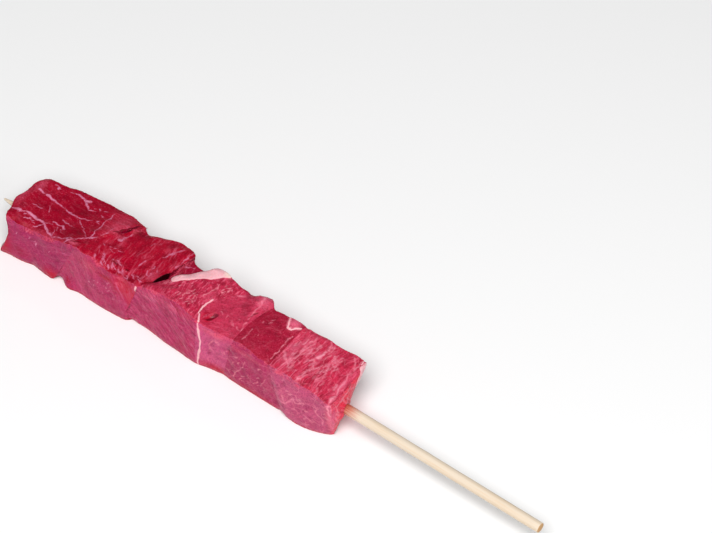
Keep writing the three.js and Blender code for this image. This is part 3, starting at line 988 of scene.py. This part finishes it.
def raw_lamb_material(lamb, settings):
    """Raw lamb leg, knife-cut across the muscle and moist with its own juice.

    The eye sees deep red lean with fibre bundles running one way, pink veins of thin fat,
    white seams, purple fronts and small soft glints. Painted into the colour are a milky reflection of
    the table down the fronts, highlights on fibre bundles and upper crests, and shade in folds, joints and
    pockets.
    """
    material, shader, add, place = new_material("Raw lamb leg " + lamb.node[-1])
    turned, position = add(SPLIT, add(NORMAL)), add(SPLIT, place)
    upward, height = turned["Z"], position["Z"]
    marks = {name: add(("ShaderNodeAttribute", {"attribute_name": name}, (), "Fac")) for name in MARKS}
    lean, side, flank, vein = (linear(tone, 1) for tone in (lamb.lean, lamb.side, lamb.flank, lamb.vein))
    dark_lean_and_shade, pale, red, deep = ((*c, 1) for c in (settings.dark_lean_and_shade, settings.pale, settings.red, settings.deep))
    fat, rim = (*settings.fat, 1), (*settings.rim, 1)
    down = add(RAMP, upward, 0.55, 0.25)
    # Faces turned to the front, which take the purple lean and its painted milky reflection of the table.
    in_front = add(MULTIPLY, add(RAMP, turned["Y"], 0.0, -0.5), add(RAMP, position["Y"], -7, -9))
    mottle = add(NOISE, place, 1 / MOTTLE, 3.0, 0.6)
    fine = add(NOISE, place, 1 / GRIT, 3.0, 0.7)

    # The grain waves a little on its way through the muscle. Its broad bands are made of thin bundles.
    wave = add(COLOUR_NOISE, place, 1 / WAVE, 1.0)
    swayed = add(MOVE, place, add(SCALE, add(MOVE_BACK, wave, (0.5, 0.5, 0.5)), SWAY))
    length, width = lamb.fibre
    patterns = []
    for wider, detail, roughness in ((3, 2.0, 0.55), (1, 1.5, 0.5)):
        over_and_beside = []
        for grain, long, wide in ((lamb.grain, length, width), (lamb.side_grain, length * 2.5, width * 0.8)):
            along = add(STRETCH, swayed, grain_turn(grain), (long, wide * wider, wide * wider))
            over_and_beside.append(add(NOISE, along, 1.0, detail, roughness))
        patterns.append(add(CHOOSE, down, *over_and_beside))
    bands, bundles = patterns
    # Fibre bundles painted lighter, as a highlight where they catch the light.
    fibre_highlight = add(MULTIPLY, add(RAMP, bundles, 0.53, 0.68, 0, 0.8), add(RAMP, bands, 0.35, 0.6, 0.35, 1))
    fibre_highlight_colour = add(LAY, add(MULTIPLY, in_front, down), (*settings.fibre_highlight, 1), (*settings.side_fibre_highlight, 1))

    # Lean is nearly even on top, mottled down the sides, and redder where it curves under.
    top = lean
    for amount, over in (
        (add(RAMP, mottle, 0.52, 0.3, 0, 0.4), dark_lean_and_shade),
        (add(RAMP, fine, 0.48, 0.36, 0, 0.45), dark_lean_and_shade),
        (add(RAMP, fine, 0.57, 0.68, 0, 0.3), pale),
    ):
        top = add(LAY, amount, top, over)
    dark = add(LAY, in_front, dark_lean_and_shade, deep)
    under = add(MULTIPLY, add(RAMP, height, 2.2, 0.3), add(RAMP, mottle, 0.3, 0.6, 0.4, 1))
    beside = lean
    for amount, over in (
        (add(RAMP, turned["X"], 0.3, 0.7), flank),
        # Down the front the purple lean carries a painted milky reflection of the table.
        (in_front, side),
        (add(RAMP, mottle, 0.52, 0.3, 0, 0.5), dark),
        (add(RAMP, fine, 0.49, 0.36, 0, 0.5), dark),
        (add(RAMP, fine, 0.56, 0.68, 0, 0.35), pale),
        (add(LARGER, under, marks["redder"]), red),
    ):
        beside = add(LAY, amount, beside, over)

    # Fine marbling: threads of fat between the bundles, broken where they sink from view.
    web_size = (lamb.web_size * 1.8, lamb.web_size, lamb.web_size)
    cells = add(CELLS, add(STRETCH, swayed, grain_turn(lamb.grain), web_size), 1.0)
    thread = add(RAMP, add(ADD, cells, add(MULTIPLY, fine, 0.06)), 0.1, 0.02)
    thread = add(MULTIPLY, thread, add(RAMP, add(NOISE, place, 1 / GAPS, 1.0), 0.42, 0.6))

    # Paler and darker areas, a painted highlight along the upper crests of the cuts, veins, seams of clean
    # fat, and painted shade in folds, joints and pockets.
    patchy = add(MULTIPLY, marks["paler"], add(RAMP, fine, 0.25, 0.7, 0.6, 1.2))
    # Painted highlight along the upper crests, where the top turns down into the sides.
    crest_highlight = add(MULTIPLY, add(RAMP, upward, 0.2, 0.4), add(RAMP, upward, 0.72, 0.5))
    crest_highlight = add(MULTIPLY, crest_highlight, add(RAMP, height, 14, 17))
    ragged = add(MULTIPLY, add(SUBTRACT, fine, 0.5), 0.9)
    depth = add(ADD, marks["beyond_vein"], ragged)
    plain = add(RAMP, add(NOISE, place, 1 / FADING, 2.0), 0.3, 0.6, 0.45, 1.0)
    seam = add(ADD, marks["beyond_fat"], add(MULTIPLY, ragged, 0.4))
    clean = fat
    for amount, over in (
        (add(RAMP, marks["paler"], 0.3, 1.0), (*settings.cream_fat, 1)),
        (add(RAMP, fine, 0.5, 0.3, 0, 0.35), rim),
    ):
        clean = add(LAY, amount, clean, over)
    crease_shade = add(ADD, marks["beyond_crease"], add(MULTIPLY, ragged, 0.5))
    colour_now = add(LAY, down, top, beside)
    for amount, over in (
        (add(MULTIPLY, marks["redder"], 0.8), red),
        (add(MULTIPLY, add(RAMP, bands, 0.5, 0.38, 0, 0.35), marks["streaks"]), dark_lean_and_shade),
        (add(MULTIPLY, add(RAMP, bands, 0.54, 0.66, 0, 0.3), marks["streaks"]), pale),
        (add(MULTIPLY, fibre_highlight, marks["streaks"]), fibre_highlight_colour),
        (add(MULTIPLY, thread, marks["web"]), vein),
        # Paler and darker patches; a few of them are painted highlight and painted shade.
        (add(RAMP, patchy, 0, 1), pale),
        (add(RAMP, patchy, 0, -1), dark_lean_and_shade),
        (add(MULTIPLY, crest_highlight, add(RAMP, fine, 0.38, 0.6, 0.1, 0.65)), rim),
        # Painted shade on the faces between the pieces.
        (add(MULTIPLY, marks["pressed"], 0.8), dark_lean_and_shade),
        (add(MULTIPLY, add(RAMP, depth, 0.22 + lamb.blur, -0.15 - lamb.blur), plain), vein),
        (add(MULTIPLY, add(RAMP, depth, -0.15, -0.8, 0, 0.5), plain), fat),
        (add(RAMP, seam, 0.2, -0.1), clean),
        # Painted shade in creases, folds and joints, deep purple-red down the front.
        (add(RAMP, crease_shade, 0.25, -0.15, 0, 0.85), add(LAY, in_front, (*settings.crease_shade, 1), deep)),
        # Painted shade in slits and pockets.
        (marks["hollow"], (*settings.shadow, 1)),
    ):
        colour_now = add(LAY, amount, colour_now, over)

    damp = add(NOISE, place, 1 / DAMP, 2.0)
    dry = add(RAMP, damp, 0.35, 0.65, settings.roughness - 0.1, settings.roughness + 0.12)
    relief = add(ADD, add(MULTIPLY, bundles, marks["streaks"]), add(MULTIPLY, fine, 0.35))
    bump = add(BUMP, relief, 0.45, FIBRE_HEIGHT * MM)
    inputs = {
        "Base Color": colour_now,
        "Roughness": add(SUBTRACT, dry, add(MULTIPLY, marks["wet"], 0.25)),
        "IOR": 1.2,
        "Coat Weight": settings.wetness,
        "Coat Roughness": 0.22,
        "Coat IOR": 1.34,
        "Subsurface Weight": settings.depth,
        "Subsurface Radius": (1.0, 0.35, 0.25),
        "Subsurface Scale": LIGHT_REACH * MM,
        "Normal": bump,
        "Coat Normal": bump,
    }
    give(shader, inputs)
    return material


class KEBAB_OT_raw_lamb(bpy.types.Operator):
    """Make the seven pieces of raw lamb"""

    bl_idname = "kebab.raw_lamb"
    bl_label = "Raw Lamb"

    def finish(self, piece, lamb, cuts, settings):
        finish_lamb(piece, lamb, cuts)
        dress(piece, raw_lamb_material(lamb, settings))
        seat(piece, lamb.node)

    def execute(self, context):
        settings = context.scene.kebab_lamb
        body = join_solids(settings)
        cuts = [fit_cut(lamb.node) for lamb in PIECES[1:]]
        places = vertex_array(body.data, "co") / MM
        owners = np.zeros(len(places), int)
        for index, cut in enumerate(cuts, start=1):
            owners[places[:, 0] > cut(places[:, 1], places[:, 2])] = index
        roughen(body, owners, settings)

        # The body is cut up again from the handle's end, so that each piece meets the next exactly.
        for index in range(len(PIECES) - 1, 0, -1):
            knife = make_knife(cuts[index - 1])
            piece = copy_of(body)
            finish_with(piece, "BOOLEAN", operation="INTERSECT", solver="MANIFOLD", object=knife)
            finish_with(body, "BOOLEAN", operation="DIFFERENCE", solver="MANIFOLD", object=knife)
            bpy.data.objects.remove(knife)
            self.finish(piece, PIECES[index], cuts, settings)
        self.finish(body, PIECES[0], cuts, settings)
        return {"FINISHED"}


# ---------------------------------------------------------------- bamboo skewer


def shape_skewer(settings):
    """A round rod with a turned point and a sawn end with a worn rim."""
    low, high = SKEWER_BOX
    radius = (high.z - low.z) / 2
    axis_y, axis_z = (low.y + high.y) / 2, (low.z + high.z) / 2
    point = settings.point * MM
    shank = high.x - low.x - point
    middle = (low.x + point + shank / 2, axis_y, axis_z)
    tip_rim, rings = 0.2, 90
    deselect()
    bpy.ops.mesh.primitive_cylinder_add(
        vertices=40, radius=radius, depth=shank, location=middle, rotation=(0, math.pi / 2, 0)
    )
    piece = bpy.context.object
    piece.name = "bamboo_skewer"
    bpy.ops.object.transform_apply(location=True, rotation=True, scale=True)
    mesh = piece.data

    # The point tapers in steps to its tip.
    pick(mesh, "FACE", all_at(low.x + point))
    tip_share = settings.tip * MM / 2 / radius
    steps, reached = 6, 1.0
    for step in range(1, steps + 1):
        t = step / steps
        wanted = math.sqrt(1 - t * (1 - tip_share**2))
        scale = wanted / reached
        centre = (low.x + point * (1 - t), axis_y, axis_z)
        bpy.ops.mesh.extrude_region_move(TRANSFORM_OT_translate={"value": (-point / steps, 0, 0)})
        bpy.ops.transform.resize(value=(1, scale, scale), center_override=centre)
        reached = wanted
    bpy.ops.object.mode_set(mode="OBJECT")

    # The rims of the tip and of the sawn end are worn round.
    for x, width in ((low.x, tip_rim), (high.x, settings.chamfer)):
        pick(mesh, "EDGE", all_at(x))
        bpy.ops.mesh.bevel(offset=width * MM, segments=3, affect="EDGES")
        bpy.ops.object.mode_set(mode="OBJECT")

    # Rings along the shank let the wood be slightly uneven.
    pick(mesh, "EDGE", lambda values: max(values) - min(values) > shank / 2)
    bpy.ops.mesh.subdivide(number_cuts=rings)
    bpy.ops.object.mode_set(mode="OBJECT")
    edit_all(bpy.ops.mesh.normals_make_consistent, inside=False)
    bumps = clouds("uneven wood", UNEVEN * MM)
    finish_with(piece, "DISPLACE", texture=bumps, strength=UNEVEN_HEIGHT * MM, texture_coords="LOCAL")
    take(piece)
    bpy.ops.object.shade_smooth_by_angle(angle=math.radians(50))
    return piece


def bamboo_material(settings):
    """Split and turned bamboo, bare and dry.

    The eye sees a matt cream rod with fine lengthwise fibres, a browner sawn end,
    and an orange brown stain where it leaves the meat, darkest at the meat itself.
    """
    material, shader, add, place = new_material("Bare bamboo")
    lengthwise = add(STRETCH, place, (0, 0, 0), (30, 1, 1))
    fibres = add(NOISE, lengthwise, 1 / SPLINTER, 3.0, 0.6)
    bands = add(NOISE, lengthwise, 1 / BAND, 1.0)
    grain = (*settings.grain, 1)

    # Juice creeps furthest along the fibres, out of the last piece of meat and out of the first.
    creep = add(MULTIPLY, add(SUBTRACT, fibres, 0.5), 2 * settings.stain)
    reach = add(ADD, add(SPLIT, place)["X"], creep)
    handle_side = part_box("lamb_cube_7")[1].x / MM
    point_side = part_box("lamb_cube_1")[0].x / MM
    inside = add(RAMP, reach, point_side - 3.0, point_side)
    wet, dried = (
        add(MULTIPLY, add(RAMP, reach, handle_side + length, handle_side - 1.0, 0, most), inside)
        for length, most in ((settings.stain, 1.0), (DRIED, 0.6))
    )
    colour_now = (*settings.bamboo, 1)
    for amount, over in (
        (add(RAMP, fibres, 0.5, 0.72, 0, 0.5), grain),
        (add(RAMP, bands, 0.5, 0.7, 0, 0.25), grain),
        (add(RAMP, add(SPLIT, add(NORMAL))["X"], 0.5, 0.9), (*settings.sawn, 1)),
        (wet, (*settings.juice, 1)),
        (dried, (*settings.dried, 1)),
    ):
        colour_now = add(LAY, amount, colour_now, over)
    bump = add(BUMP, fibres, 0.4, SPLINTER_HEIGHT * MM)
    give(shader, {"Base Color": colour_now, "Roughness": 0.62, "IOR": 1.5, "Normal": bump})
    return material


class KEBAB_OT_bamboo_skewer(bpy.types.Operator):
    """Make the bamboo skewer"""

    bl_idname = "kebab.bamboo_skewer"
    bl_label = "Bamboo Skewer"

    def execute(self, context):
        settings = context.scene.kebab_skewer
        piece = shape_skewer(settings)
        dress(piece, bamboo_material(settings))
        seat(piece, "skewer")
        return {"FINISHED"}


# ---------------------------------------------------------------- stage


# Lights: turn from the front and height, degrees; distance and size, metres.
LIGHTS = {"Key": (30, 60, 1.5, 1.0), "Fill": (85, 32, 1.2, 0.6), "Glint": (215, 48, 0.9, 0.12)}


def direction(azimuth, elevation):
    """The unit vector from the object towards a place round it; azimuth 0 is the front."""
    level = math.cos(elevation)
    return Vector((math.sin(azimuth) * level, -math.cos(azimuth) * level, math.sin(elevation)))


def add_light(name, power, aim):
    azimuth, elevation, distance, size = LIGHTS[name]
    towards = direction(math.radians(azimuth), math.radians(elevation))
    bpy.ops.object.light_add(type="AREA", location=aim + towards * distance)
    light = bpy.context.object
    light.name = name
    light.data.shape = "DISK"
    light.data.size = size
    light.data.energy = power
    light.rotation_euler = towards.to_track_quat("Z", "Y").to_euler()


class KEBAB_OT_stage(bpy.types.Operator):
    """Make the table, the lights and the camera"""

    bl_idname = "kebab.stage"
    bl_label = "Stage"

    def execute(self, context):
        settings = context.scene.kebab_stage
        deselect()
        bpy.ops.mesh.primitive_plane_add(size=6)
        floor = bpy.context.object
        floor.name = "tabletop"
        material, shader, _, _ = new_material("Matt white laminate")
        give(shader, {"Base Color": (*settings.floor, 1), "Roughness": 0.7})
        dress(floor, material)

        world = bpy.data.worlds.new("Soft room")
        context.scene.world = world
        world.use_nodes = True
        give(world.node_tree.nodes["Background"], {"Color": (1, 1, 1, 1), "Strength": settings.sky})
        centre = (Vector(CAD_BOX[0]) + Vector(CAD_BOX[1])) / 2
        for name, power in (("Key", settings.key), ("Fill", settings.fill), ("Glint", settings.glint)):
            add_light(name, power, centre)

        back = direction(settings.azimuth, settings.elevation)
        low, high = SKEWER_BOX
        aim = Vector((centre.x, (low.y + high.y) / 2 + settings.aim_behind, (low.z + high.z) / 2))
        bpy.ops.object.camera_add(location=aim + back * settings.distance)
        camera = bpy.context.object
        camera.rotation_euler = back.to_track_quat("Z", "Y").to_euler()
        camera.data.lens = settings.lens
        camera.data.clip_end = 20
        context.scene.camera = camera
        context.scene.view_settings.view_transform = "Standard"
        return {"FINISHED"}


# ---------------------------------------------------------------- panel


class KEBAB_PT_kebab(bpy.types.Panel):
    """Lists the kebab's pieces and their settings"""

    bl_idname = "KEBAB_PT_kebab"
    bl_label = "Raw Lamb Kebab"
    bl_space_type = "VIEW_3D"
    bl_region_type = "UI"
    bl_category = "Kebab"

    def draw(self, context):
        scene = context.scene
        for settings, operator in (
            (scene.kebab_lamb, "kebab.raw_lamb"),
            (scene.kebab_skewer, "kebab.bamboo_skewer"),
            (scene.kebab_stage, "kebab.stage"),
        ):
            box = self.layout.box()
            for name in settings.__annotations__:
                box.prop(settings, name)
            box.operator(operator)


CLASSES = (KebabLambSettings, KebabSkewerSettings, KebabStageSettings)
CLASSES += (KEBAB_OT_raw_lamb, KEBAB_OT_bamboo_skewer, KEBAB_OT_stage, KEBAB_PT_kebab)


def register():
    for cls in CLASSES:
        bpy.utils.register_class(cls)
    bpy.types.Scene.kebab_lamb = bpy.props.PointerProperty(type=KebabLambSettings)
    bpy.types.Scene.kebab_skewer = bpy.props.PointerProperty(type=KebabSkewerSettings)
    bpy.types.Scene.kebab_stage = bpy.props.PointerProperty(type=KebabStageSettings)


def unregister():
    del bpy.types.Scene.kebab_stage
    del bpy.types.Scene.kebab_skewer
    del bpy.types.Scene.kebab_lamb
    for cls in reversed(CLASSES):
        bpy.utils.unregister_class(cls)


def main():
    register()
    bpy.ops.kebab.raw_lamb()
    bpy.ops.kebab.bamboo_skewer()
    bpy.ops.kebab.stage()


if __name__ == "__main__":
    main()
